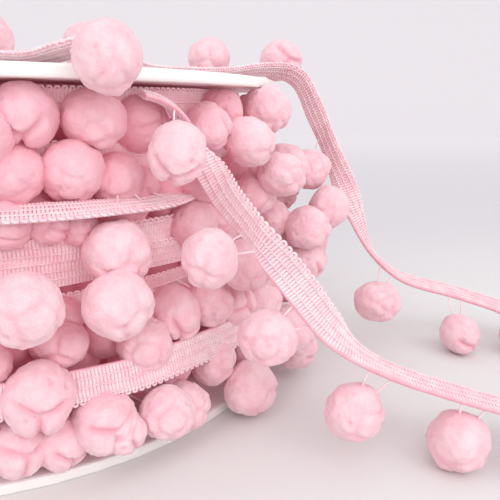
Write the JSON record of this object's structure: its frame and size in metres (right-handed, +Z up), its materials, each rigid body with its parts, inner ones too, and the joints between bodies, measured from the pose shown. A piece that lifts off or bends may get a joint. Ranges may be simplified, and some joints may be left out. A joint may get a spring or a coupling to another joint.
{
  "type": "pompom fringe trim on a reel",
  "caption": "Pompom fringe trim wound thickly on a flat flanged reel, with one loose length trailing to the floor and back over the top flange.",
  "frame": {"origin": "on the reel's axis, at the underside of the bottom flange, which stands on the floor", "axes": "+Z up along the reel's axis, +X towards the side where the loose run lies, -Y towards the side where it leaves the winding"},
  "size_m": [0.2753, 0.1796, 0.0893],
  "materials": {
    "pompom_yarn": "soft cut pile, matt",
    "braid_yarn": "smooth crocheted yarn, slight sheen",
    "reel_plastic": "semi-gloss white plastic"
  },
  "bodies": {
    "root": {"reel_bottom_flange": "reel_plastic", "reel_barrel": "reel_plastic", "reel_top_flange": "reel_plastic", "wound_trim": "pompom_yarn", "loose_braid": "braid_yarn", "fringe_from_reel": "pompom_yarn", "fringe_on_floor": "pompom_yarn", "fringe_rising": "pompom_yarn", "fringe_on_flange": "pompom_yarn"}
  },
  "joints": []
}
